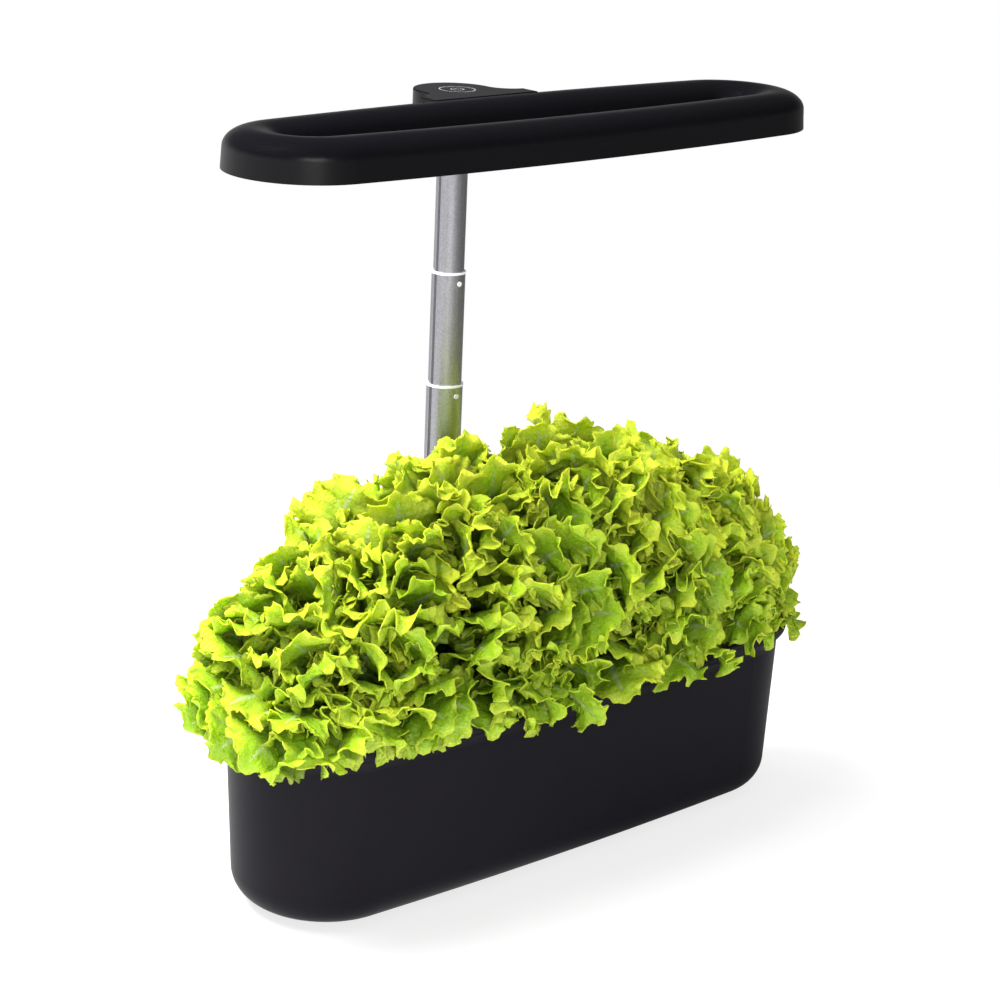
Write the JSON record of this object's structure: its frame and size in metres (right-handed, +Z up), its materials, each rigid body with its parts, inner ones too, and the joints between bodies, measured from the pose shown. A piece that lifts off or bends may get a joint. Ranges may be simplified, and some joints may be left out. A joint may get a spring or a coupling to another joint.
{
  "type": "countertop hydroponic garden",
  "caption": "Oval water tank with a lift-off planted grow deck, and a ring lamp on a telescopic mast that stands behind it.",
  "frame": {"origin": "on the resting surface, at the middle of the whole object's footprint", "axes": "+X along the tank to the right seen from the front, +Y to the back where the mast stands, +Z up"},
  "size_m": [0.4365, 0.1809, 0.4328],
  "materials": {
    "tank_plastic": "fine matte moulded ABS, black",
    "deck_plastic": "fine matte moulded ABS, black",
    "lamp_plastic": "soft satin moulded ABS, black",
    "gauge_plastic": "white gloss",
    "inlet_plastic": "black gloss",
    "circuit_board": "green solder mask",
    "pump_plastic": "black moulded",
    "rotor_plastic": "pale grey moulded over a ferrite magnet",
    "shaft_steel": "ground",
    "screw_steel": "zinc plated",
    "filter_sponge": "open-cell foam, black",
    "foot_rubber": "matte",
    "frosted_plastic": "frosted, translucent white",
    "board_aluminium": "white solder mask on aluminium",
    "led_package": "white package with yellow phosphor",
    "anodised_aluminium": "satin clear anodised",
    "white_plastic": "moulded acetal, white",
    "basket_plastic": "black moulded polypropylene",
    "grow_sponge": "brown peat foam",
    "lettuce_leaf": "fresh green leaf"
  },
  "bodies": {
    "base": {"water_tank": "tank_plastic", "rubber_feet": "foot_rubber", "rear_housing": "tank_plastic", "housing_screws": "screw_steel", "dc_inlet": "inlet_plastic", "control_board": "circuit_board", "pump_housing": "pump_plastic", "pump_cover": "pump_plastic", "pump_shaft": "shaft_steel", "pump_filter": "filter_sponge", "pump_feet": "foot_rubber", "mast_base_tube": "anodised_aluminium", "mast_base_collar": "white_plastic"},
    "pump_rotor": {"pump_rotor": "rotor_plastic"},
    "deck": {"grow_deck": "deck_plastic"},
    "fill_cap": {"fill_cap": "deck_plastic"},
    "water_gauge": {"water_gauge": "gauge_plastic"},
    "mast_lower": {"mast_lower_tube": "anodised_aluminium", "mast_lower_collar": "white_plastic", "mast_lower_glide": "white_plastic"},
    "mast_middle": {"mast_middle_tube": "anodised_aluminium", "mast_middle_collar": "white_plastic", "mast_middle_glide": "white_plastic"},
    "lamp": {"mast_top_tube": "anodised_aluminium", "mast_top_glide": "white_plastic", "lamp_shell": "lamp_plastic", "lamp_bottom_cover": "lamp_plastic", "led_diffuser": "frosted_plastic", "led_board": "board_aluminium", "led_chips": "led_package", "neck_cover": "lamp_plastic", "touch_board": "circuit_board", "lamp_screws": "screw_steel"},
    "pod_1": {"basket_1": "basket_plastic", "sponge_1": "grow_sponge", "lettuce_1": "lettuce_leaf"},
    "pod_2": {"basket_2": "basket_plastic", "sponge_2": "grow_sponge", "lettuce_2": "lettuce_leaf"},
    "pod_3": {"basket_3": "basket_plastic", "sponge_3": "grow_sponge", "lettuce_3": "lettuce_leaf"},
    "pod_4": {"basket_4": "basket_plastic", "sponge_4": "grow_sponge", "lettuce_4": "lettuce_leaf"},
    "pod_5": {"basket_5": "basket_plastic", "sponge_5": "grow_sponge", "lettuce_5": "lettuce_leaf"},
    "pod_6": {"basket_6": "basket_plastic", "sponge_6": "grow_sponge", "lettuce_6": "lettuce_leaf"},
    "pod_7": {"basket_7": "basket_plastic", "sponge_7": "grow_sponge", "lettuce_7": "lettuce_leaf"},
    "pod_8": {"basket_8": "basket_plastic", "sponge_8": "grow_sponge", "lettuce_8": "lettuce_leaf"}
  },
  "joints": [
    {"name": "pump_rotor_spin", "type": "hinge", "parent": "base", "child": "pump_rotor", "pos_m": [0, 0.013, 0.022], "axis": [1, 0, 0], "continuous": true},
    {"name": "deck_lift", "type": "slide", "parent": "base", "child": "deck", "axis": [0, 0, 1], "range_m": [0, 0.06]},
    {"name": "fill_cap_lift", "type": "slide", "parent": "deck", "child": "fill_cap", "axis": [0, 0, 1], "range_m": [0, 0.008]},
    {"name": "water_gauge_float", "type": "slide", "parent": "deck", "child": "water_gauge", "axis": [0, 0, 1], "range_m": [-0.0118, 0]},
    {"name": "mast_lower_slide", "type": "slide", "parent": "base", "child": "mast_lower", "axis": [0, 0, 1], "range_m": [-0.058, 0]},
    {"name": "mast_middle_slide", "type": "slide", "parent": "mast_lower", "child": "mast_middle", "axis": [0, 0, 1], "range_m": [-0.058, 0]},
    {"name": "mast_top_slide", "type": "slide", "parent": "mast_middle", "child": "lamp", "axis": [0, 0, 1], "range_m": [-0.058, 0]},
    {"name": "pod_1_lift", "type": "slide", "parent": "deck", "child": "pod_1", "axis": [0, 0, 1], "range_m": [0, 0.06]},
    {"name": "pod_2_lift", "type": "slide", "parent": "deck", "child": "pod_2", "axis": [0, 0, 1], "range_m": [0, 0.06]},
    {"name": "pod_3_lift", "type": "slide", "parent": "deck", "child": "pod_3", "axis": [0, 0, 1], "range_m": [0, 0.06]},
    {"name": "pod_4_lift", "type": "slide", "parent": "deck", "child": "pod_4", "axis": [0, 0, 1], "range_m": [0, 0.06]},
    {"name": "pod_5_lift", "type": "slide", "parent": "deck", "child": "pod_5", "axis": [0, 0, 1], "range_m": [0, 0.06]},
    {"name": "pod_6_lift", "type": "slide", "parent": "deck", "child": "pod_6", "axis": [0, 0, 1], "range_m": [0, 0.06]},
    {"name": "pod_7_lift", "type": "slide", "parent": "deck", "child": "pod_7", "axis": [0, 0, 1], "range_m": [0, 0.06]},
    {"name": "pod_8_lift", "type": "slide", "parent": "deck", "child": "pod_8", "axis": [0, 0, 1], "range_m": [0, 0.06]}
  ]
}
